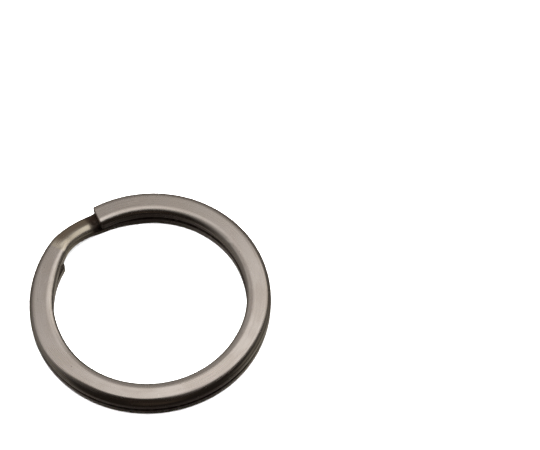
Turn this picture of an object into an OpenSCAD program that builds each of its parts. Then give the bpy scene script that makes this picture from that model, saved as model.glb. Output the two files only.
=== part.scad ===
// Flat split key ring: one length of flat spring wire wound into two turns that lie on each other.
// One formed step, the crossover, carries the wire from the upper turn down to the lower one. It is
// centred on -X. Seen from above the wire runs clockwise downhill. Both cut ends lie at the step.
// The last half turn before each end is drawn as short links, cut on radial planes where the wire
// bends when a key is pushed in. The ring lies on z = 0 and its eye is centred on the origin.

/* [Ring] */
// Outside diameter of the ring
ring_od = 30; // [26:0.5:36]
// Width of the flat wire, along the radius
wire_w = 3; // [2.4:0.1:3.6]
// Thickness of the flat wire
wire_t = 1.5; // [1.2:0.1:1.8]
// Radius on the wire's four long edges
edge_r = 0.4; // [0.2:0.05:0.5]
// Gap between the two turns of the closed ring
turn_gap = 0.05; // [0.03:0.01:0.15]

/* [Crossover and ends] */
// Half of the angle that the formed step takes
step_half = 13; // [10:0.5:13]
// How much narrower the wire is in the middle of the step, all of it on the inner side
step_waist = 0.45; // [0:0.05:0.6]
// Angle from the middle of the step to the upper end
upper_end_at = 14; // [13.5:0.5:20]
// Angle from the middle of the step to the lower end
lower_end_at = 17.5; // [13.5:0.5:20]
// Radius on the inner corner of a cut end, seen from above
end_inner_r = 0.45; // [0.2:0.05:0.6]
// Radius on the outer corner of a cut end, seen from above
end_outer_r = 0.25; // [0.15:0.05:0.6]

/* [Flexing length] */
// Angle of each turn that bends when its end is pried away
flex_angle = 180; // [120:10:200]
// Number of links that stand for the bending length of one turn
flex_links = 9; // [6:1:12]

/* [Hidden] */
$fn = 96;

inner_r = ring_od / 2 - wire_w;
outer_r = ring_od / 2;
middle_r = (inner_r + outer_r) / 2;
turn_pitch = wire_t + turn_gap;
ring_h = turn_pitch + wire_t;
link_angle = flex_angle / flex_links;

// Angles about +Z, counter-clockwise from +X
step_middle = 180;
upper_end = step_middle - upper_end_at;
lower_end = step_middle + lower_end_at;
upper_flex_start = upper_end - flex_angle;
lower_flex_start = lower_end - 360 + flex_angle;

// The step's sweep: how many slices, points on each rounded edge, and where its slope eases off
step_slices = 28;
edge_points = 5;
straight_part = 0.6;

wire_colour = [0.60, 0.57, 0.54];
step_colour = [0.54, 0.51, 0.48];
end_colour = [0.66, 0.63, 0.59];

// ---- the wire ----

// Cross-section of the wire, standing on the X axis at the ring's radius
module wire_section() {
    translate([inner_r, 0]) {
        translate([edge_r, 0]) square([wire_w - 2 * edge_r, wire_t]);
        translate([0, edge_r]) square([wire_w, wire_t - 2 * edge_r]);
        for (x = [edge_r, wire_w - edge_r], y = [edge_r, wire_t - edge_r])
            translate([x, y]) circle(r = edge_r);
    }
}

// A stretch of the wire from one angle to another, lying at height z
module wire_arc(from, to, z) {
    translate([0, 0, z])
        rotate([0, 0, from])
            rotate_extrude(angle = to - from)
                wire_section();
}

// What a rounding of radius corner_r takes off a cut end where its face meets the wall of radius
// wall_r. The wire is on the -Y side of the cut; side is 1 at the outer wall, -1 at the inner.
module end_corner_cut(wall_r, side, corner_r) {
    over = 1;
    centre_r = wall_r - side * corner_r;
    centre = [sqrt(pow(centre_r, 2) - pow(corner_r, 2)), -corner_r];
    beyond = centre * (wall_r + side * over) / centre_r;
    translate([0, 0, -over])
        linear_extrude(height = ring_h + 2 * over)
            difference() {
                polygon([centre, beyond, [beyond[0], over], [centre[0], over]]);
                translate(centre) circle(r = corner_r);
            }
}

module end_corner_cuts() {
    end_corner_cut(inner_r, -1, end_inner_r);
    end_corner_cut(outer_r, 1, end_outer_r);
}

// ---- the crossover ----

// Height of the step's middle line, from 1 at its upper end to -1 at its lower end, for u from -1 to 1
function step_height(u) =
    let (
        v = abs(u),
        ease = 1 - straight_part,
        slope = 1 / (straight_part + ease / 2),
        run = (v - straight_part) / 2 + ease / (2 * PI) * sin(180 * (v - straight_part) / ease),
        rise = v <= straight_part ? slope * v : slope * (straight_part + run)
    )
    -sign(u) * rise;

// How steeply that line falls at u, per unit of u
function step_fall(u) =
    let (
        v = abs(u),
        ease = 1 - straight_part,
        slope = 1 / (straight_part + ease / 2)
    )
    v <= straight_part ? slope : slope * (1 + cos(180 * (v - straight_part) / ease)) / 2;

// Points round the wire's section, centred on its middle, with rounded edges
section_points = [
    for (corner = [0 : 3], i = [0 : edge_points - 1])
        let (
            turn = 90 * corner + 90 * i / (edge_points - 1),
            cx = (corner == 0 || corner == 3 ? 1 : -1) * (wire_w / 2 - edge_r),
            cy = (corner < 2 ? 1 : -1) * (wire_t / 2 - edge_r)
        )
        [cx + edge_r * cos(turn), cy + edge_r * sin(turn)]
];

// One slice of the step at u: the section stands square to the wire's middle line, and the pressing
// that formed the step has drawn its inner side out to a waist
function step_slice(u) =
    let (
        angle = step_middle - u * step_half,
        out = [cos(angle), sin(angle), 0],
        ahead = [sin(angle), -cos(angle), 0],
        length = middle_r * step_half * PI / 180,
        tilt = atan(step_fall(u) * turn_pitch / 2 / length),
        up = [0, 0, cos(tilt)] + ahead * sin(tilt),
        waist = step_waist * pow(cos(90 * u), 2),
        middle = out * (middle_r + waist / 2) + [0, 0, (ring_h + turn_pitch * step_height(u)) / 2]
    )
    [for (p = section_points) middle + out * p[0] * (1 - waist / wire_w) + up * p[1]];

module crossover() {
    n = len(section_points);
    points = [
        for (i = [0 : step_slices])
            each step_slice(-1 + 2 * i / step_slices)
    ];
    sides = [
        for (i = [0 : step_slices - 1], j = [0 : n - 1])
            [i * n + j, i * n + (j + 1) % n, (i + 1) * n + (j + 1) % n, (i + 1) * n + j]
    ];
    first = [for (j = [0 : n - 1]) n - 1 - j];
    last = [for (j = [0 : n - 1]) step_slices * n + j];
    color(step_colour)
        polyhedron(points = points, faces = concat(sides, [first, last]), convexity = 4);
}

// ---- the stiff part of each turn, next to the crossover ----

module upper_turn_base() {
    color(wire_colour)
        wire_arc(step_middle + step_half - 360, upper_flex_start, turn_pitch);
}

module lower_turn_base() {
    color(wire_colour)
        wire_arc(lower_flex_start, step_middle - step_half, 0);
}

// ---- the flexing part of each turn, counted from its base ----

module upper_flex(i) {
    color(wire_colour)
        wire_arc(upper_flex_start + (i - 1) * link_angle, upper_flex_start + i * link_angle, turn_pitch);
}

module lower_flex(i) {
    color(wire_colour)
        wire_arc(lower_flex_start - i * link_angle, lower_flex_start - (i - 1) * link_angle, 0);
}

// ---- the two cut ends, where a fingernail or a key goes in ----

module upper_tip() {
    color(end_colour)
        difference() {
            wire_arc(upper_end - link_angle, upper_end, turn_pitch);
            rotate([0, 0, upper_end]) end_corner_cuts();
        }
}

module lower_tip() {
    color(end_colour)
        difference() {
            wire_arc(lower_end - 360, lower_end - 360 + link_angle, 0);
            rotate([0, 0, lower_end]) mirror([0, 1, 0]) end_corner_cuts();
        }
}

crossover();
upper_turn_base();
lower_turn_base();
for (i = [1 : flex_links - 1]) {
    upper_flex(i);
    lower_flex(i);
}
upper_tip();
lower_tip();
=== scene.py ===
import math
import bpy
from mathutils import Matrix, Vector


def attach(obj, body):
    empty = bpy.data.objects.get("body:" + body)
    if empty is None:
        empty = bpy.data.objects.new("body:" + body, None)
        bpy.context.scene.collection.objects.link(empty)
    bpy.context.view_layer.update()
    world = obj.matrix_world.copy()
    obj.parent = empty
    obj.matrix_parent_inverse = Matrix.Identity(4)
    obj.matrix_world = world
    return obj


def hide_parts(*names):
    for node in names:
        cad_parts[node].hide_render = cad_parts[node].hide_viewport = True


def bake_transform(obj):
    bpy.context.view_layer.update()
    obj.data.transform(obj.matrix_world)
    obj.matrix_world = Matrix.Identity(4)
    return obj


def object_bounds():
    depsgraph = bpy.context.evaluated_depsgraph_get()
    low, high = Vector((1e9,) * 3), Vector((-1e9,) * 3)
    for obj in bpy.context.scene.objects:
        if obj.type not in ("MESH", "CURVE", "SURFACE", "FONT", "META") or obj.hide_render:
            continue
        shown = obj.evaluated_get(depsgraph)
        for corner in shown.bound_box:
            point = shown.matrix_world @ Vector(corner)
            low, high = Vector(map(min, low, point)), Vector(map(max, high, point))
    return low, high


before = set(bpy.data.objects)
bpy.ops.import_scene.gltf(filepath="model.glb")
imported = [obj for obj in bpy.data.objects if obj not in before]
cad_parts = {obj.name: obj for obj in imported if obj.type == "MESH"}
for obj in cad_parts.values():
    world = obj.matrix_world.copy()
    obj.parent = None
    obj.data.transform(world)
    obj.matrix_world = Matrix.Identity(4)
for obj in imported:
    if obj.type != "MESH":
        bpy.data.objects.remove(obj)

from types import SimpleNamespace

import bpy
import numpy as np
from mathutils import Matrix, Vector

cad_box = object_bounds()
MM = 0.001
scene = bpy.context.scene
scene.view_settings.view_transform = "Standard"

# ---------------------------------------------------------------------------------------------
# Sizes, in millimetres and degrees. Travelled angles run along the wire from the upper cut end,
# clockwise and downhill, nearly twice round. rho is across the wire, outwards from its middle,
# and zeta is up from its middle line
# ---------------------------------------------------------------------------------------------

RING_OD = (cad_box[1].y - cad_box[0].y) / MM
RING_H = (cad_box[1].z - cad_box[0].z) / MM
WIRE_W = 3.0
WIRE_T = 1.5
HALF_W, HALF_T = WIRE_W / 2, WIRE_T / 2
MIDDLE_R = RING_OD / 2 - WIRE_W / 2
PITCH = RING_H - WIRE_T
MM_PER_DEG = MIDDLE_R * math.pi / 180

LINKS = 9                   # joints along each flexing turn
LINK = 20.0                 # degrees from one joint to the next
UPPER_END = 166.0           # the part's own angle at the upper cut end, where travelled angle is 0
UPPER_JOINT = LINKS * LINK              # travelled angle at the upper turn's first joint
LOWER_JOINT = 508.5                     # travelled angle at the lower turn's first joint
WIRE_END = LOWER_JOINT + LINKS * LINK   # travelled angle at the lower cut end

# The crossover, between the two turns
STEP_FROM, STEP_TO = 333.0, 362.0       # where its slope eases in and out
STEP_MIDDLE = (STEP_FROM + STEP_TO) / 2
STEP_STRAIGHT = 0.55        # share of it that slopes evenly; the rest is its two bends
STEP_SKEW = 0.5             # degrees that the slope starts earlier per millimetre outwards
STEP_PIECE_FROM, STEP_PIECE_TO = STEP_FROM - 1.5, STEP_TO + 1.5
SHAPE_IN, SHAPE_OUT = (STEP_FROM - 2, STEP_FROM + 5), (STEP_TO - 3, STEP_TO + 3)
BOTTOM_BARED = (STEP_FROM - 7, STEP_FROM + 1)       # where the bottom face comes into the open
TOP_COVERED = (STEP_TO - 3, STEP_TO + 5)            # where the upper turn begins to lie on the top
WAIST, WAIST_AT, WAIST_REACH = 0.52, 345.0, 38.0    # the wire is narrower round the crossover
SWELL, SWELL_AT, SWELL_REACH = 0.10, 277.0, 28.0    # and a little wider just before that

# The coil is never quite round: the two turns stand a little in and out of each other
OUT_OF_ROUND = (            # travelled angle, reach in degrees, mm outwards
    (30, 75, 0.06),
    (130, 25, 0.04),
    (215, 70, -0.03),
    (310, 34, -0.08),
    (437, 65, -0.07),
    (467, 22, -0.06),
    (497, 25, -0.04),
    (530, 40, 0.04),
)
LOWER_END_IN, LOWER_END_REACH = 0.04, 14    # the lower end stands further in, over this length

# The wire's section: the rounding of each corner (across, up), and the slope that edgewise coiling
# gives the flat faces, which makes the wire a little thinner at the ring's outside
INNER_ROUND = (0.88, 0.36)
OUTER_ROUND = (0.66, 0.60)
SEAM_ROUND = (0.20, 0.14)   # both corners of a face that lies against the other turn
KEYSTONE, SEAM_KEYSTONE = math.tan(math.radians(2.4)), math.tan(math.radians(0.8))

# Pressing the crossover bevels the inner half of its top face, inwards from this rho
STEP_BEVEL, STEP_BEVEL_FROM, STEP_BEVEL_EASE = math.tan(math.radians(11.0)), 0.15, 0.5
STEP_INNER_DEPTH = 0.30

# The outer edge isn't alike all along the upper turn. Coiling has pressed it over wider and a
# little deeper along one stretch
PRESSED_EDGE, PRESSED_DEPTH = 0.44, 0.04
PRESSED_RISE, PRESSED_FALL = (125.0, 200.0), (238.0, 262.0)
# Along the later part of that it is narrower again, and BEVELLED of the way from round to straight
BEVEL_RISE, BEVELLED, BEVEL_NARROW = (188.0, 214.0), 0.65, 0.30
# It is a little wider before that stretch, and left sharper after it
SOFT_EDGE, SOFT_AT, SOFT_REACH = 0.17, 95.0, 60.0
CRISP_EDGE, CRISP_AT, CRISP_REACH = 0.26, 270.0, 26.0

# The cut ends
CUT_SKEW = 0.53             # degrees that the cut turns per millimetre outwards
CUT_SKEW_FROM, CUT_SKEW_FULL = -3.0, -0.3       # degrees from the end where the rings take it up
CUT_INNER_R, CUT_OUTER_R = 0.45, 0.22   # rounding of the end's corners, seen from above
CUT_EDGE_R = 0.10           # rounding of the edge round the end face
CUT_EDGE_CLEAR = 1.5        # times that, from the end to the first plain ring

# Small marks of handling: travelled angle, rho, zeta, length, width, depth
MARKS = (
    (82.5, -1.15, 0.55, 0.30, 0.30, 0.050),
    (236.0, 1.30, 0.55, 0.35, 0.25, 0.035),
    (291.0, -1.25, 0.50, 0.25, 0.25, 0.030),
    (148.0, 1.35, 0.45, 0.25, 0.22, 0.035),
    (31.0, 1.30, 0.55, 0.25, 0.25, 0.030),
    (612.0, 1.35, -0.45, 0.35, 0.25, 0.035),
    (432.0, 1.35, -0.45, 0.30, 0.25, 0.030),
)

# Where the material's masks begin and are full
WORN_OUTER, WORN_INNER = (0.95, 1.25), (0.75, 1.15)     # rho, towards either wall
WORN_UP = (0.25, 0.75)      # share of the half height, towards either face
WALL, WALL_UNWORN = (1.43, 1.50), 0.6   # rho at the wall itself, and how much less it is worn
SEAM_UP = (0.55, 0.92)      # share of the half thickness, towards the other turn
SEAM_AWAY = (4, 13)         # degrees from the crossover's middle
NOOK_FROM, NOOK_TO = (352.5, 355.5), (364, 370)         # travelled angles under the upper end, where grime and painted shade darken the wire
NOOK_UP = (0, 0.3)          # zeta
PAINTED_STEP_SHADE_OUT = (-0.30, 0.35)  # rho, where the painted shade over the crossover's outer half begins and is full
CUT_FACE = (-0.35, 0.0)     # degrees from the cut

# How finely the wire is built
CORNER_STEPS, FLAT_STEPS, WALL_STEPS = 9, 12, 6
NX, NZ = 2 * CORNER_STEPS + FLAT_STEPS + 1, WALL_STEPS + 1
RING_STEP, FINE_RING_STEP = 1.0, 0.5    # degrees; the fine one at the crossover and the cut ends
FINE_REACH = 3              # degrees past the crossover that the fine rings go on
END_RING = 0.04             # degrees from a piece's end to one more ring, which keeps shading even
EDGE_RINGS = 5              # rings in the rounding round an end face
LEAST_DENT = 1e-4           # mm; a piece with no deeper mark is left alone
UV_SPAN = 100               # mm of wire to one unit of UV
CAP_UV_AT = 20              # mm round the wire where the end faces are laid


# ---------------------------------------------------------------------------------------------
# The wire's shape
# ---------------------------------------------------------------------------------------------

def smooth(x, low, high):
    """0 below low, 1 above high, and an eased rise between them."""
    t = np.clip((x - low) / (high - low), 0, 1)
    return t * t * (3 - 2 * t)


def bump(x, middle, half_width):
    """1 at middle, falling smoothly to 0 at half_width to either side."""
    return 1 - smooth(np.abs(x - middle), 0, half_width)


def in_step(a):
    """1 in the pressed crossover, 0 on the plain turns."""
    return smooth(a, *SHAPE_IN) * (1 - smooth(a, *SHAPE_OUT))


def bare_top(a):
    """1 where the wire's top face is in the open, 0 where the upper turn lies on it."""
    return 1 - smooth(a, *TOP_COVERED)


def bare_bottom(a):
    """1 where the wire's bottom face is in the open, 0 where it lies on the lower turn."""
    return smooth(a, *BOTTOM_BARED)


def bevelled(a):
    """1 where the pressed outer edge is nearly a bevel, 0 where it is a plain rounding."""
    return smooth(a, *BEVEL_RISE) * (1 - smooth(a, *PRESSED_FALL))


def bare_corners(a):
    """Width and depth of the inner and the outer rounding of a face in the open."""
    pressed = smooth(a, *PRESSED_RISE) * (1 - smooth(a, *PRESSED_FALL))
    soft = SOFT_EDGE * bump(a, SOFT_AT, SOFT_REACH)
    crisp = CRISP_EDGE * bump(a, CRISP_AT, CRISP_REACH)
    inner_d = INNER_ROUND[1] + (STEP_INNER_DEPTH - INNER_ROUND[1]) * in_step(a)
    outer_w = OUTER_ROUND[0] + PRESSED_EDGE * pressed + soft - crisp - BEVEL_NARROW * bevelled(a)
    outer_d = OUTER_ROUND[1] + PRESSED_DEPTH * pressed - crisp
    return (INNER_ROUND[0], inner_d), (outer_w, outer_d)


def step_bevel(rho, a):
    """How far the bevel of the crossover's top face lies below the flat at rho."""
    past = STEP_BEVEL_FROM - rho
    easing = np.maximum(0, past) ** 2 / (2 * STEP_BEVEL_EASE)
    eased = np.where(past < STEP_BEVEL_EASE, easing, past - STEP_BEVEL_EASE / 2)
    return STEP_BEVEL * eased * in_step(a)


def half_height(rho, a, bare):
    """How far a flat face lies from the section's middle line at rho, out from the wire's middle."""
    inner, outer = bare_corners(a)
    inner_w, inner_d, outer_w, outer_d = (
        seam + (open_air - seam) * bare
        for seam, open_air in zip(SEAM_ROUND + SEAM_ROUND, inner + outer)
    )
    crest = -HALF_W + inner_w
    keystone = SEAM_KEYSTONE + (KEYSTONE - SEAM_KEYSTONE) * bare
    flat = HALF_T - keystone * np.maximum(0, rho - crest)
    x_in = np.clip((crest - rho) / inner_w, 0, 1)
    fall_in = inner_d * (1 - np.sqrt(1 - x_in ** 2))
    x_out = np.clip((rho - HALF_W + outer_w) / outer_w, 0, 1)
    power = 2 - BEVELLED * bevelled(a) * bare       # 2 is an ellipse, 1 a straight bevel
    fall_out = outer_d * (1 - (1 - x_out ** power) ** (1 / power))
    return flat - fall_in - fall_out


def columns(a):
    """Places across the wire, from the inner wall to the outer one, close together on the roundings."""
    (inner_w, _), (outer_w, _) = bare_corners(a)
    turn = np.linspace(0, math.pi / 2, CORNER_STEPS + 1)
    inner = -HALF_W + inner_w * (1 - np.cos(turn))
    outer = HALF_W - outer_w * (1 - np.cos(turn[::-1]))
    flat = np.linspace(inner[-1], outer[0], FLAT_STEPS + 1)
    return np.concatenate([inner, flat[1:-1], outer])


def section(a):
    """A grid of (rho, zeta) over the section: NX columns, each of NZ points from bottom to top."""
    up = np.linspace(0, 1, NZ)
    rho = columns(a)
    top = half_height(rho, a, bare_top(a)) - step_bevel(rho, a)
    bottom = -half_height(rho, a, bare_bottom(a))
    zeta = bottom[:, None] + (top - bottom)[:, None] * up[None, :]
    return np.stack([np.repeat(rho[:, None], NZ, 1), zeta], 2)


def rim_order():
    """Grid places round the section, starting at the inner bottom corner and going outwards."""
    bottom = [(i, 0) for i in range(NX - 1)]
    outer = [(NX - 1, k) for k in range(NZ - 1)]
    top = [(i, NZ - 1) for i in range(NX - 1, 0, -1)]
    inner = [(0, k) for k in range(NZ - 1, 0, -1)]
    return np.array(bottom + outer + top + inner)


RIM = rim_order()
RIM_AT = {tuple(grid_place): j for j, grid_place in enumerate(RIM.tolist())}


def step_progress(a):
    """0 on the upper turn, 1 on the lower one, along the crossover's line, and how steeply it falls."""
    u = np.clip((np.asarray(a, float) - STEP_FROM) / (STEP_TO - STEP_FROM) * 2 - 1, -1, 1)
    v = np.abs(u)
    ease = 1 - STEP_STRAIGHT
    slope = 1 / (STEP_STRAIGHT + ease / 2)
    over = np.maximum(0, v - STEP_STRAIGHT)
    bent = STEP_STRAIGHT + over / 2 + ease / (2 * math.pi) * np.sin(math.pi * over / ease)
    rise = slope * np.where(over > 0, bent, v)
    fall = slope * np.where(over > 0, (1 + np.cos(math.pi * over / ease)) / 2, 1)
    return (1 + np.sign(u) * rise) / 2, np.where(v < 1, fall, 0)


def waist(a):
    """How much narrower the wire is at travelled angle a, all of it on the inner side."""
    return WAIST * bump(a, WAIST_AT, WAIST_REACH) - SWELL * bump(a, SWELL_AT, SWELL_REACH)


def centre_line(a, rho):
    """Radius, height and slope angle of the wire's middle at travelled angle a."""
    done, fall = step_progress(a + STEP_SKEW * rho)
    half_length = (STEP_TO - STEP_FROM) / 2 * MM_PER_DEG
    slope = np.arctan(fall * PITCH / 2 / half_length)
    radius = MIDDLE_R + waist(a) / 2
    for middle, reach, out in OUT_OF_ROUND:
        radius = radius + out * bump(a, middle, reach)
    radius = radius - LOWER_END_IN * smooth(a, WIRE_END - LOWER_END_REACH, WIRE_END)
    height = RING_H - HALF_T - PITCH * done
    return radius, height, slope


def place(a, rho, zeta):
    """Points in the part's frame, in mm, for a travelled angle and a place in the section."""
    radius, height, slope = centre_line(a, rho)
    theta = np.radians(UPPER_END - a)
    out = np.stack([np.cos(theta), np.sin(theta), np.zeros_like(theta)], -1)
    ahead = np.stack([np.sin(theta), -np.cos(theta), np.zeros_like(theta)], -1)
    r = radius + rho * (1 - waist(a) / WIRE_W)
    along, up = zeta * np.sin(slope), zeta * np.cos(slope)
    point = out * r[..., None] + ahead * along[..., None]
    point[..., 2] += height + up
    return point


def cut_setback(rho):
    """How far, in mm, the end face lies back at rho because its corners are rounded."""
    back = np.zeros_like(rho)
    for radius, depth in ((CUT_INNER_R, rho + HALF_W), (CUT_OUTER_R, HALF_W - rho)):
        x = np.clip(1 - depth / radius, 0, 1)
        back = np.maximum(back, radius * (1 - np.sqrt(1 - x ** 2)))
    return back


def inward(points):
    """Unit normals of the section's rim, pointing into the wire, for a (ring, 2) array."""
    side = np.roll(points, -1, 0) - np.roll(points, 1, 0)
    normal = np.stack([-side[:, 1], side[:, 0]], 1)
    return normal / np.linalg.norm(normal, axis=1)[:, None]


def dents(coords):
    """How far, in mm, the marks of handling push each point in, for (a, rho, zeta) points."""
    a, rho, zeta = coords[..., 0], coords[..., 1], coords[..., 2]
    push = np.zeros_like(a)
    for at, mark_rho, mark_zeta, length, width, depth in MARKS:
        along = (a - at) * MM_PER_DEG / length
        across, up = (rho - mark_rho) / width, (zeta - mark_zeta) / width
        push += depth * np.exp(-(along ** 2 + across ** 2 + up ** 2) * 2)
    return push


# ---------------------------------------------------------------------------------------------
# The wire's meshes
# ---------------------------------------------------------------------------------------------

def ring_stops(a_from, a_to, cut_from, cut_to):
    """The travelled angles of a piece's rings, without those in the rounding of a cut end."""
    at_step = a_to > STEP_FROM - FINE_REACH and a_from < STEP_TO + FINE_REACH
    spacing = FINE_RING_STEP if at_step or cut_from or cut_to else RING_STEP
    count = max(2, round((a_to - a_from) / spacing))
    stops = list(np.linspace(a_from, a_to, count + 1))
    stops = [stops[0], stops[0] + END_RING] + stops[1:-1] + [stops[-1] - END_RING, stops[-1]]
    clear = CUT_EDGE_CLEAR * CUT_EDGE_R / MM_PER_DEG
    if cut_from:
        stops = [a for a in stops if a > a_from + clear]
    if cut_to:
        stops = [a for a in stops if a < a_to - clear]
    return stops


def wire_rings(a_from, a_to, cut_from, cut_to):
    """Rings (a, rho, zeta) from a_from to a_to; a cut side gets the end's own rounding."""
    edge_deg = CUT_EDGE_R / MM_PER_DEG
    turns = np.linspace(0, math.pi / 2, EDGE_RINGS)

    def ring(a, inset=0.0):
        grid = section(a)
        rim = grid[RIM[:, 0], RIM[:, 1]]
        rim = rim + inward(rim) * inset
        at = np.full(len(rim), a)
        for cut, end, sign in ((cut_from, a_from, -1), (cut_to, a_to, 1)):
            if cut:
                near = smooth(np.full(len(rim), sign * (a - end)), CUT_SKEW_FROM, CUT_SKEW_FULL)
                rho = rim[:, 0]
                at = at + near * (CUT_SKEW * rho - sign * cut_setback(rho) / MM_PER_DEG)
        return np.column_stack([at, rim])

    rings = []
    if cut_from:
        for t in turns[::-1]:
            rings.append(ring(a_from + edge_deg * (1 - math.sin(t)), CUT_EDGE_R * (1 - math.cos(t))))
    for a in ring_stops(a_from, a_to, cut_from, cut_to):
        rings.append(ring(a))
    if cut_to:
        for t in turns:
            rings.append(ring(a_to - edge_deg * (1 - math.sin(t)), CUT_EDGE_R * (1 - math.cos(t))))
    return np.array(rings)


def side_faces(n_rings, n_rim):
    """Quads between the rings, ring after ring."""
    faces = []
    for i in range(n_rings - 1):
        for j in range(n_rim):
            k = (j + 1) % n_rim
            faces.append((i * n_rim + j, (i + 1) * n_rim + j, (i + 1) * n_rim + k, i * n_rim + k))
    return faces


def end_face(rim, first_on_rim, first_inside, flipped):
    """The grid of an end face, which shares the rim's own points: its inner points and its quads."""
    number = np.zeros((NX, NZ), int)
    inside = []
    for i in range(NX):
        low = rim[RIM_AT[(i, 0)]]
        high = rim[RIM_AT[(i, NZ - 1)]]
        for k in range(NZ):
            if (i, k) in RIM_AT:
                number[i, k] = first_on_rim + RIM_AT[(i, k)]
            else:
                inside.append(low + (high - low) * k / (NZ - 1))
                number[i, k] = first_inside + len(inside) - 1
    quads = []
    for i in range(NX - 1):
        for k in range(NZ - 1):
            quad = (number[i, k], number[i + 1, k], number[i + 1, k + 1], number[i, k + 1])
            quad = tuple(int(v) for v in quad)
            quads.append(quad[::-1] if flipped else quad)
    return np.array(inside), quads


def press_dents(mesh, points, coords):
    """The dents go in along the surface's own normal."""
    push = dents(coords)
    if push.max() > LEAST_DENT:
        normals = np.zeros(len(points) * 3)
        mesh.vertices.foreach_get("normal", normals)
        moved = points - normals.reshape(-1, 3) * push[:, None]
        mesh.vertices.foreach_set("co", (moved * MM).ravel())
        mesh.update()


def worn_mask(a, rho, zeta):
    """1 on the edges that handling wears, less on the walls and 0 on the flats."""
    half = half_height(np.clip(rho, -HALF_W, HALF_W), a, 1.0)
    near_wall = np.maximum(smooth(rho, *WORN_OUTER), smooth(-rho, *WORN_INNER))
    near_face = smooth(np.abs(zeta) / half, *WORN_UP)
    return near_wall * near_face * (1 - smooth(np.abs(rho), *WALL) * WALL_UNWORN)


def seam_mask(a, rho, zeta):
    """1 where the wire is darkened: in the seam, and in the nook below the upper end, on the crossover;
    the nook is grime and painted shade.
    """
    facing = np.where(a < STEP_MIDDLE, -zeta, zeta) / HALF_T
    seam = smooth(facing, *SEAM_UP) * smooth(np.abs(a - STEP_MIDDLE), *SEAM_AWAY)
    # grime and painted shade in the nook below the upper end
    nook = smooth(a, *NOOK_FROM) * (1 - smooth(a, *NOOK_TO)) * smooth(zeta, *NOOK_UP)
    return np.maximum(seam, nook)


def cut_mask(a, rho, cuts):
    """1 on a cut end face."""
    mask = np.zeros(len(a))
    for is_cut, end, sign in cuts:
        if is_cut:
            at = end + CUT_SKEW * rho - sign * cut_setback(rho) / MM_PER_DEG
            mask = np.maximum(mask, smooth(sign * (a - at), *CUT_FACE))
    return mask


def lay_uv(mesh, faces, n_side, n_rim, coords):
    """U runs along the wire and V round it; the end faces are laid flat, clear of the rest."""
    along = coords[:, 0] * MM_PER_DEG
    round_it = np.arange(n_rim + 1) / n_rim * 2 * (WIRE_W + WIRE_T)
    flat = []
    for f in range(n_side):
        v0, v1 = round_it[f % n_rim], round_it[f % n_rim + 1]
        ids = faces[f]
        flat += [along[ids[0]], v0, along[ids[1]], v0, along[ids[2]], v1, along[ids[3]], v1]
    for f in range(n_side, len(faces)):
        for v in faces[f]:
            flat += [coords[v, 1], coords[v, 2] + CAP_UV_AT]
    uv = mesh.uv_layers.new(name="UVMap")
    uv.data.foreach_set("uv", np.array(flat) / UV_SPAN)


def sharpen_rims(mesh, first_points, n_rim):
    """The edge round each plain end face is sharp, so its shading doesn't bend towards the cap."""
    sharp = np.zeros(len(mesh.edges), bool)
    for first in first_points:
        for e in mesh.edges:
            if all(first <= v < first + n_rim for v in e.vertices):
                sharp[e.index] = True
    mesh.attributes.new("sharp_edge", "BOOLEAN", "EDGE").data.foreach_set("value", sharp)


def build_piece(name, a_from, a_to, cut_from=False, cut_to=False):
    """One closed length of the wire as a mesh object, with the coordinates its material needs."""
    rings = wire_rings(a_from, a_to, cut_from, cut_to)
    n_rings, n_rim = rings.shape[:2]
    last_ring = (n_rings - 1) * n_rim
    faces = side_faces(n_rings, n_rim)
    n_side = len(faces)
    start_points, start_quads = end_face(rings[0], 0, n_rings * n_rim, True)
    end_base = n_rings * n_rim + len(start_points)
    end_points, end_quads = end_face(rings[-1], last_ring, end_base, False)
    faces += start_quads + end_quads
    coords = np.concatenate([rings.reshape(-1, 3), start_points, end_points])
    points = place(coords[:, 0], coords[:, 1], coords[:, 2])

    mesh = bpy.data.meshes.new(name)
    mesh.from_pydata((points * MM).tolist(), [], faces)
    mesh.update()
    mesh.polygons.foreach_set("use_smooth", [True] * len(faces))
    press_dents(mesh, points, coords)

    a, rho, zeta = coords[:, 0], coords[:, 1], coords[:, 2]
    wire = np.column_stack([a * MM_PER_DEG, rho, zeta])
    mesh.attributes.new("wire", "FLOAT_VECTOR", "POINT").data.foreach_set("vector", wire.ravel())
    masks = {
        "worn": worn_mask(a, rho, zeta),
        "seam": seam_mask(a, rho, zeta),
        # painted shade: the crossover's outer half is darkened in its colour
        "formed": in_step(a) * smooth(rho, *PAINTED_STEP_SHADE_OUT),
        "cut": cut_mask(a, rho, ((cut_from, a_from, -1), (cut_to, a_to, 1))),
    }
    for mask, values in masks.items():
        mesh.attributes.new(mask, "FLOAT", "POINT").data.foreach_set("value", values)
    lay_uv(mesh, faces, n_side, n_rim, coords)
    plain_ends = [first for first, cut in ((0, cut_from), (last_ring, cut_to)) if not cut]
    sharpen_rims(mesh, plain_ends, n_rim)
    mesh.validate()

    obj = bpy.data.objects.new(name, mesh)
    scene.collection.objects.link(obj)
    return obj


# ---------------------------------------------------------------------------------------------
# Materials: satin gunmetal plate, brushed along the wire
# ---------------------------------------------------------------------------------------------

BASE = (0.558, 0.508, 0.470)
# the crossover's plate is painted lighter and yellower than the rest: a painted highlight for its bright
# inner strip
STEP_BASE_PAINTED_LIGHT = (0.630, 0.575, 0.485)
WORN = (0.66, 0.61, 0.565)
PAINTED_STEP_SHADE = (0.340, 0.260, 0.190)      # painted shade over the outer half of the crossover, darker and browner than the plate
# dark grime in the pits, and darkening in the seam; in the nook under the upper end it is grime and
# painted shade
GRIME_AND_SHADE = (0.060, 0.036, 0.028)
BLOTCH_TINT = (0.90, 0.84, 0.78)    # times the base colour
DARKER, LIGHTER = 0.96, 1.03        # times the base colour, in the brushed streaks
SCRATCH_ANGLE = math.radians(24)    # to the brushing
RELIEF_STRENGTH, RELIEF_DEPTH = 0.38, 0.006 * MM


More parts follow.
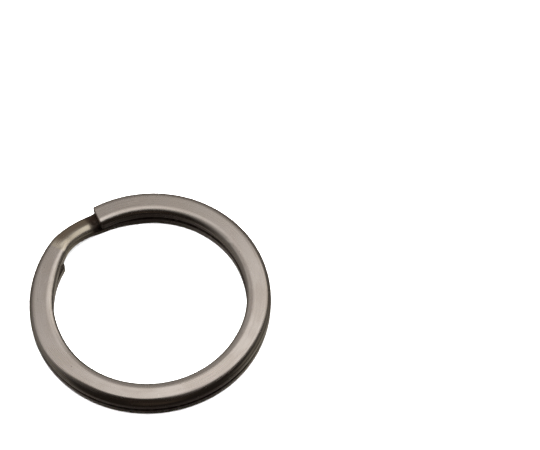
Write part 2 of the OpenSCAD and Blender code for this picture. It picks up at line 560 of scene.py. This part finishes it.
class Nodes:
    """Short names for the node calls that the materials repeat."""

    def __init__(self, tree):
        self.tree = tree
        tree.nodes.clear()

    def add(self, kind, **settings):
        node = self.tree.nodes.new(kind)
        for key, value in settings.items():
            setattr(node, key, value)
        return node

    def link(self, source, target):
        self.tree.links.new(source, target)

    def attribute(self, name, output="Fac"):
        return self.add("ShaderNodeAttribute", attribute_name=name).outputs[output]

    def stretched(self, vector, scale):
        node = self.add("ShaderNodeVectorMath", operation="MULTIPLY")
        self.link(vector, node.inputs[0])
        node.inputs[1].default_value = scale
        return node.outputs[0]

    def noise(self, vector, detail, roughness=0.55, distortion=0.0, scale=1.0):
        node = self.add("ShaderNodeTexNoise")
        self.link(vector, node.inputs["Vector"])
        node.inputs["Scale"].default_value = scale
        node.inputs["Detail"].default_value = detail
        node.inputs["Roughness"].default_value = roughness
        node.inputs["Distortion"].default_value = distortion
        return node.outputs["Fac"]

    def math(self, operation, a, b, clamp=False):
        node = self.add("ShaderNodeMath", operation=operation, use_clamp=clamp)
        for socket, value in zip(node.inputs, (a, b)):
            if isinstance(value, (int, float)):
                socket.default_value = value
            else:
                self.link(value, socket)
        return node.outputs[0]

    def times(self, a, b):
        return self.math("MULTIPLY", a, b)

    def ramp(self, value, low, high, out_low=0.0, out_high=1.0):
        node = self.add("ShaderNodeMapRange", interpolation_type="SMOOTHSTEP")
        self.link(value, node.inputs["Value"])
        node.inputs["From Min"].default_value = low
        node.inputs["From Max"].default_value = high
        node.inputs["To Min"].default_value = out_low
        node.inputs["To Max"].default_value = out_high
        return node.outputs["Result"]

    def mix(self, factor, a, b):
        node = self.add("ShaderNodeMix", data_type="RGBA", blend_type="MIX")
        for socket, value in ((node.inputs[0], factor), (node.inputs[6], a), (node.inputs[7], b)):
            if isinstance(value, (int, float)):
                socket.default_value = value
            elif isinstance(value, tuple):
                socket.default_value = (*value, 1)
            else:
                self.link(value, socket)
        return node.outputs[2]


def tinted(colour, *factors):
    """The colour times one factor, or times one factor for each channel."""
    if len(factors) == 1:
        factors = factors * 3
    return tuple(channel * factor for channel, factor in zip(colour, factors))


def surface_marks(n):
    """What colour, roughness and relief share: noises along the wire, and masks for each mark."""
    wire = n.attribute("wire", "Vector")

    # noises: how often along, across and up the wire, then detail, roughness and distortion
    streaks = n.noise(n.stretched(wire, (0.16, 7.0, 7.0)), 5.0, 0.62)
    hair = n.noise(n.stretched(wire, (0.9, 26.0, 26.0)), 3.0, 0.6)
    blotch = n.noise(n.stretched(wire, (0.30, 0.55, 0.55)), 3.0, 0.5, 0.4)
    patch = n.noise(n.stretched(wire, (1.3, 1.6, 1.6)), 3.0, 0.6, 0.6)
    grain = n.noise(wire, 3.0, 0.7, scale=9.0)

    # pits: a few small random cells, each with a shallow bowl
    cells = n.add("ShaderNodeTexVoronoi", feature="F1")
    n.link(wire, cells.inputs["Vector"])
    cells.inputs["Scale"].default_value = 2.6
    chosen = n.ramp(cells.outputs["Color"], 0.80, 0.86)
    bowl = n.ramp(cells.outputs["Distance"], 0.05, 0.20, 1.0, 0.0)
    pits = n.times(chosen, bowl)

    # hairline scratches that cross the brushing at a low angle
    turned = n.add("ShaderNodeMapping")
    n.link(wire, turned.inputs["Vector"])
    turned.inputs["Rotation"].default_value = (0.0, 0.0, SCRATCH_ANGLE)
    turned.inputs["Scale"].default_value = (0.28, 1.9, 0.6)
    lines = n.add("ShaderNodeTexVoronoi", feature="DISTANCE_TO_EDGE")
    n.link(turned.outputs[0], lines.inputs["Vector"])
    lines.inputs["Scale"].default_value = 1.0
    hairline = n.ramp(lines.outputs["Distance"], 0.004, 0.018, 1.0, 0.0)
    some = n.ramp(n.noise(n.stretched(wire, (0.5, 0.9, 0.9)), 2.0), 0.52, 0.60)
    scratches = n.times(hairline, some)

    # shear marks run up and down the cut face
    cut = n.attribute("cut")
    shear = n.times(n.noise(n.stretched(wire, (2.0, 14.0, 1.2)), 4.0, 0.6), cut)

    # wear, and the darkening of the seam and the nook, are broken up in patches
    worn = n.times(n.attribute("worn"), n.ramp(patch, 0.30, 0.62, 0.45, 1.0))
    dirt_and_shade = n.times(n.attribute("seam"), n.ramp(patch, 0.25, 0.70, 0.75, 1.0))
    return SimpleNamespace(
        streaks=streaks, hair=hair, blotch=blotch, patch=patch, grain=grain, pits=pits,
        scratches=scratches, shear=shear, cut=cut, worn=worn, dirt_and_shade=dirt_and_shade, formed=n.attribute("formed"),
    )


def plate_colour(n, marks, base):
    """The base colour with its streaks and blotches, then the marks over it."""
    dark, light = tinted(base, DARKER), tinted(base, LIGHTER)
    colour = n.mix(n.ramp(marks.streaks, 0.25, 0.75), dark, light)
    for factor, over in (
        (n.ramp(marks.blotch, 0.35, 0.65, 0.0, 0.35), tinted(base, *BLOTCH_TINT)),
        (n.ramp(marks.grain, 0.35, 0.70, 0.0, 0.16), dark),
        # painted shade over the crossover's outer half
        (n.times(marks.formed, 0.85), PAINTED_STEP_SHADE),
        (n.times(marks.worn, 0.55), WORN),
        (n.times(marks.scratches, 0.45), WORN),
        (n.times(marks.pits, 0.6), GRIME_AND_SHADE),
        # darker in the seam; grime and painted shade in the nook under the upper end
        (n.times(marks.dirt_and_shade, 0.95), GRIME_AND_SHADE),
    ):
        colour = n.mix(factor, colour, over)
    return colour


def plate_roughness(n, marks, roughness):
    """Smoother where worn, rougher in pits, in the darkened seam and nook, and on a cut face."""
    rough = n.ramp(marks.streaks, 0.25, 0.75, roughness - 0.035, roughness + 0.045)
    rough = n.math("ADD", rough, n.ramp(marks.blotch, 0.3, 0.7, -0.02, 0.03))
    for mark, more in ((marks.worn, -0.05), (marks.pits, 0.20), (marks.dirt_and_shade, 0.25)):
        rough = n.math("ADD", rough, n.times(mark, more))
    return n.math("ADD", rough, n.times(marks.cut, 0.06), clamp=True)


def plate_relief(n, marks, brush):
    """The fine relief that is too small for the mesh, as a bumped normal."""
    height = n.times(marks.streaks, brush)
    for operation, mark, depth in (
        ("ADD", marks.hair, brush * 0.45),
        ("ADD", marks.grain, 0.10),
        ("ADD", marks.patch, 0.25),
        ("SUBTRACT", marks.pits, 1.0),
        ("SUBTRACT", marks.scratches, 0.7),
        ("ADD", marks.shear, 1.6),
    ):
        height = n.math(operation, height, n.times(mark, depth))
    relief = n.add("ShaderNodeBump")
    relief.inputs["Strength"].default_value = RELIEF_STRENGTH
    relief.inputs["Distance"].default_value = RELIEF_DEPTH
    n.link(height, relief.inputs["Height"])
    return relief.outputs[0]


def steel(name, base, roughness, brush, anisotropy):
    """Plated spring steel: long brushed streaks, soft blotches, fine grain, worn edges, a darker seam,
    grime and painted shade in the nook under the upper end, and painted shade over the crossover's outer
    half.
    """
    material = bpy.data.materials.new(name)
    material.use_nodes = True
    n = Nodes(material.node_tree)
    out = n.add("ShaderNodeOutputMaterial")
    shader = n.add("ShaderNodeBsdfPrincipled")
    n.link(shader.outputs[0], out.inputs[0])
    shader.inputs["Metallic"].default_value = 1.0
    shader.inputs["Anisotropic"].default_value = anisotropy
    tangent = n.add("ShaderNodeTangent", direction_type="UV_MAP", uv_map="UVMap")
    n.link(tangent.outputs[0], shader.inputs["Tangent"])
    marks = surface_marks(n)
    n.link(plate_colour(n, marks, base), shader.inputs["Base Color"])
    n.link(plate_roughness(n, marks, roughness), shader.inputs["Roughness"])
    n.link(plate_relief(n, marks, brush), shader.inputs["Normal"])
    return material


spring_wire = steel("gunmetal_spring_wire", BASE, roughness=0.25, brush=0.6, anisotropy=0.35)
# the crossover's material: a lighter copy of the plate as painted highlight, with painted shade over its
# outer half
formed_step = steel("gunmetal_formed_step", STEP_BASE_PAINTED_LIGHT, roughness=0.22, brush=0.45, anisotropy=0.15)
wire_end = steel("gunmetal_wire_end", BASE, roughness=0.25, brush=0.6, anisotropy=0.35)


# ---------------------------------------------------------------------------------------------
# The pieces, in order along the wire
# ---------------------------------------------------------------------------------------------

def finish_piece(obj, material, slot, *replaced):
    """The piece's material, and the CAD nodes that it stands in for, which it hides. The slot is not
    used.
    """
    obj.data.materials.append(material)
    if replaced:
        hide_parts(*replaced)


def blend_over(obj, joint_at):
    """Bakes the piece's transform into its mesh. It works out the points half a link to either side of
    the joint, but nothing uses them.
    """
    for a in (joint_at - LINK / 2, joint_at + LINK / 2):
        p = place(np.array([a]), np.array([0.0]), np.array([0.0]))[0]
    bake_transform(obj)


def bend_piece(turn, k, joint_at):
    """The length of wire across a turn's joint k. The last has no CAD node of its own."""
    piece = build_piece("%s_bend_%d" % (turn, k + 1), joint_at - LINK / 2, joint_at + LINK / 2)
    node = [] if k == LINKS - 1 else ["%s_flex_%d" % (turn, k + 1)]
    finish_piece(piece, spring_wire, "spring_wire", *node)
    return piece


tip = build_piece("upper_end", 0.0, LINK / 2, cut_from=True)
finish_piece(tip, wire_end, "wire_end", "upper_tip")
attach(tip, "upper_tip")

for k in range(LINKS):
    joint_at = UPPER_JOINT - k * LINK
    piece = bend_piece("upper", k, joint_at)
    blend_over(piece, joint_at)

for name, a_from, a_to, material, slot, node in (
    ("upper_stiff_length", UPPER_JOINT + LINK / 2, STEP_PIECE_FROM,
     spring_wire, "spring_wire", "upper_turn_base"),
    ("formed_crossover", STEP_PIECE_FROM, STEP_PIECE_TO,
     formed_step, "formed_step", "crossover"),
    ("lower_stiff_length", STEP_PIECE_TO, LOWER_JOINT - LINK / 2,
     spring_wire, "spring_wire", "lower_turn_base"),
):
    piece = build_piece(name, a_from, a_to)
    finish_piece(piece, material, slot, node)
    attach(piece, "ring_base")

for k in range(LINKS):
    joint_at = LOWER_JOINT + k * LINK
    piece = bend_piece("lower", k, joint_at)
    blend_over(piece, joint_at)

tip = build_piece("lower_end", WIRE_END - LINK / 2, WIRE_END, cut_to=True)
finish_piece(tip, wire_end, "wire_end", "lower_tip")
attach(tip, "lower_tip")


# ---------------------------------------------------------------------------------------------
# Camera. The ring lies turned, so camera and lights share one turned frame: +Y away from the camera
# ---------------------------------------------------------------------------------------------

TURN = math.radians(49.2)
TO_PART = Matrix.Rotation(TURN, 3, "Z")

CAMERA_AIM = Vector((15.437, 10.765, 0.0)) * MM
CAMERA_DISTANCE = 527.13 * MM
CAMERA_ELEVATION = math.radians(60.263)
CAMERA_ROLL = math.radians(-3.722)
CAMERA_LENS, CAMERA_SENSOR = 280.1, 36.0
CLIP_NEAR, CLIP_FAR = 0.01, 20.0

back = Vector((0, -math.cos(CAMERA_ELEVATION), math.sin(CAMERA_ELEVATION)))
right = Vector((1, 0, 0))
up = back.cross(right)
cos_roll, sin_roll = math.cos(CAMERA_ROLL), math.sin(CAMERA_ROLL)
rolled_right = cos_roll * right + sin_roll * up
rolled_up = -sin_roll * right + cos_roll * up
axes = Matrix((TO_PART @ rolled_right, TO_PART @ rolled_up, TO_PART @ back)).transposed()
stand = TO_PART @ (CAMERA_AIM + back * CAMERA_DISTANCE)

camera_data = bpy.data.cameras.new("camera")
camera_data.lens = CAMERA_LENS
camera_data.sensor_width = CAMERA_SENSOR
camera_data.clip_start = CLIP_NEAR
camera_data.clip_end = CLIP_FAR
camera = bpy.data.objects.new("camera", camera_data)
scene.collection.objects.link(camera)
camera.matrix_world = Matrix.Translation(stand) @ axes.to_4x4()
scene.camera = camera


# ---------------------------------------------------------------------------------------------
# Studio: a pale floor, and softboxes painted on the sky
# ---------------------------------------------------------------------------------------------

# azimuth, elevation, radius of the even part, radius of the whole, strength, colour
SOFTBOXES = (
    (20, 73, 9, 18, 0.82, (1.0, 1.0, 1.0)),
    (30, 60, 6, 18, 0.36, (1.0, 0.99, 0.96)),
    (46, 46, 9, 17, 0.80, (1.0, 0.97, 0.91)),
    (-10, 46, 18, 40, 0.20, (1.0, 0.965, 0.93)),
    (-40, 66, 8, 28, 0.22, (1.0, 0.975, 0.95)),
    (0, 25, 40, 90, 0.10, (1.0, 0.92, 0.84)),
    (-80, 35, 15, 40, 0.12, (1.0, 0.97, 0.94)),
    (0, -50, 30, 75, 0.14, (1.0, 0.92, 0.84)),
    (180, 26, 8, 20, 0.028, (1.0, 0.74, 0.54)),
    (180, 55, 10, 30, 0.010, (1.0, 0.66, 0.42)),
    (55, -62, 8, 22, 0.12, (1.0, 0.97, 0.74)),
    (-92, -8, 12, 35, 0.17, (1.0, 0.94, 0.76)),
    (95, 4, 13, 34, 0.15, (1.0, 0.95, 0.78)),
)
AMBIENT = (0.014, 0.011, 0.009)

FLOOR_SIZE = 1.6
PAPER_DARK, PAPER_LIGHT = (0.84, 0.84, 0.84), (0.86, 0.86, 0.86)
PAPER_ROUGHNESS, PAPER_SHINE = 0.9, 0.1
FIBRE_SCALE = 900.0
PANEL_SIZE = 0.8
PANELS = (                  # name, place, power
    ("floor_panel_far", (0.05, 0.35, 0.75), 26.0),
    ("floor_panel_near", (0.10, -0.30, 0.80), 20.0),
)


def sky_direction(azimuth, elevation):
    """Azimuth 0 is straight away from the camera and 90 to its right."""
    a, e = math.radians(azimuth), math.radians(elevation)
    return TO_PART @ Vector((math.sin(a) * math.cos(e), math.cos(a) * math.cos(e), math.sin(e)))


def vector_sum(nodes, a, b):
    """The sum of two sockets, or of a socket and a plain vector."""
    both = nodes.add("ShaderNodeVectorMath", operation="ADD")
    nodes.link(a, both.inputs[0])
    if isinstance(b, tuple):
        both.inputs[1].default_value = b
    else:
        nodes.link(b, both.inputs[1])
    return both.outputs[0]


def softbox(nodes, direction, azimuth, elevation, inner, outer, strength, colour):
    """A round soft patch of light on the sky."""
    facing = nodes.add("ShaderNodeVectorMath", operation="DOT_PRODUCT")
    nodes.link(direction, facing.inputs[0])
    facing.inputs[1].default_value = sky_direction(azimuth, elevation)
    edge, full = math.cos(math.radians(outer)), math.cos(math.radians(inner))
    glow = nodes.ramp(facing.outputs["Value"], edge, full, 0.0, strength)
    coloured = nodes.add("ShaderNodeVectorMath", operation="SCALE")
    coloured.inputs[0].default_value = colour
    nodes.link(glow, coloured.inputs["Scale"])
    return coloured.outputs[0]


def paint_sky():
    """The world: the softboxes' sum on a nearly dark sky."""
    world = bpy.data.worlds.new("studio")
    scene.world = world
    world.use_nodes = True
    nodes = Nodes(world.node_tree)
    out = nodes.add("ShaderNodeOutputWorld")
    background = nodes.add("ShaderNodeBackground")
    nodes.link(background.outputs[0], out.inputs[0])
    direction = nodes.add("ShaderNodeTexCoord").outputs["Generated"]
    total = softbox(nodes, direction, *SOFTBOXES[0])
    for box in SOFTBOXES[1:]:
        total = vector_sum(nodes, total, softbox(nodes, direction, *box))
    nodes.link(vector_sum(nodes, total, AMBIENT), background.inputs["Color"])


def pale_paper():
    """The floor's material: white paper with a fine fibre."""
    paper = bpy.data.materials.new("pale_paper")
    paper.use_nodes = True
    nodes = Nodes(paper.node_tree)
    out = nodes.add("ShaderNodeOutputMaterial")
    shader = nodes.add("ShaderNodeBsdfPrincipled")
    nodes.link(shader.outputs[0], out.inputs[0])
    where = nodes.add("ShaderNodeTexCoord").outputs["Object"]
    fibre = nodes.noise(where, 3.0, scale=FIBRE_SCALE)
    colour = nodes.mix(nodes.ramp(fibre, 0.3, 0.7), PAPER_DARK, PAPER_LIGHT)
    nodes.link(colour, shader.inputs["Base Color"])
    shader.inputs["Roughness"].default_value = PAPER_ROUGHNESS
    shader.inputs["Specular IOR Level"].default_value = PAPER_SHINE
    return paper


paint_sky()

floor_mesh = bpy.data.meshes.new("floor")
reach = FLOOR_SIZE / 2
floor_corners = [(-reach, -reach, 0), (reach, -reach, 0), (reach, reach, 0), (-reach, reach, 0)]
floor_mesh.from_pydata(floor_corners, [], [(0, 1, 2, 3)])
floor_mesh.materials.append(pale_paper())
floor = bpy.data.objects.new("floor", floor_mesh)
floor.visible_glossy = False
scene.collection.objects.link(floor)

# overhead panels that light the floor only; the metal takes its light from the sky above
for name, where, power in PANELS:
    panel = bpy.data.lights.new(name, "AREA")
    panel.shape = "SQUARE"
    panel.size = PANEL_SIZE
    panel.energy = power
    lamp = bpy.data.objects.new(name, panel)
    spot = TO_PART @ Vector(where)
    lamp.location = spot
    lamp.rotation_mode = "QUATERNION"
    lamp.rotation_quaternion = (-spot).to_track_quat("-Z", "Y")
    lamp.visible_glossy = False
    lamp.visible_camera = False
    scene.collection.objects.link(lamp)
